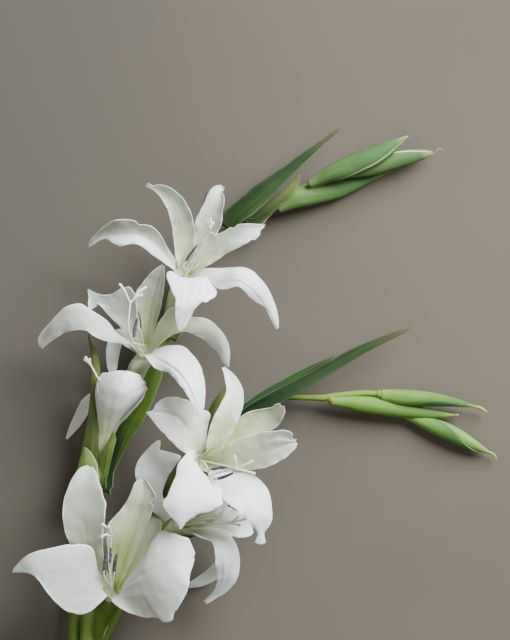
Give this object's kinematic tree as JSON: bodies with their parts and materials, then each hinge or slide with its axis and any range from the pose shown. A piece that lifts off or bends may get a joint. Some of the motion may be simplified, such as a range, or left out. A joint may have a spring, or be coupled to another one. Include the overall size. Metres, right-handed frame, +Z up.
{
  "type": "gladiolus",
  "caption": "Cut gladiolus stem forked into two arms, laid flat, with open white flowers, stamens, bracts and closed green buds.",
  "frame": {"origin": "middle of the flat underside of the stem, near its cut end, on the surface that the flower lies on", "axes": "+Y along the stem from the cut end towards the buds, +X to the right seen from above, +Z up from the surface"},
  "size_m": [0.2195, 0.3355, 0.0581],
  "materials": {
    "stem": "matt olive green plant stem",
    "bloom": "soft white petal with fine veins, pale green in the throat",
    "stamens": "purple-grey anthers on white filaments",
    "style": "white",
    "bract_green": "green leaf with lengthwise veins",
    "bract_bright": "bright green leaf with lengthwise veins",
    "bract_olive": "olive green leaf with a brownish tip",
    "bract_dark": "dark green leaf with a thin olive edge",
    "bud": "light green bud in its bract, with a pale edge"
  },
  "bodies": {
    "root": {"bloom_a": "bloom", "bloom_b": "bloom", "bloom_c": "bloom", "bloom_d": "bloom", "bloom_e": "bloom", "bloom_f": "bloom", "bract_a_inner": "bract_green", "bract_a_outer": "bract_olive", "bract_b_inner": "bract_green", "bract_b_outer": "bract_bright", "bract_c_inner": "bract_olive", "bract_c_outer": "bract_olive", "bract_d_outer": "bract_green", "bract_e_inner": "bract_green", "bract_e_outer": "bract_green", "bract_f_inner": "bract_green", "bract_f_outer": "bract_olive", "bract_left_long": "bract_dark", "bract_left_olive": "bract_olive", "bract_right_long": "bract_dark", "bract_right_second": "bract_dark", "bud_left_end": "bud", "bud_left_lower": "bud", "bud_left_upper": "bud", "bud_right_end": "bud", "bud_right_lower": "bud", "bud_right_middle": "bud", "leaf_fork": "bract_green", "stamens_a": "stamens", "stamens_b": "stamens", "stamens_c": "stamens", "stamens_d": "stamens", "stamens_e": "stamens", "stamens_f": "stamens", "stem": "stem", "style_a": "style", "style_b": "style", "style_c": "style", "style_d": "style", "style_e": "style", "style_f": "style"}
  },
  "joints": []
}
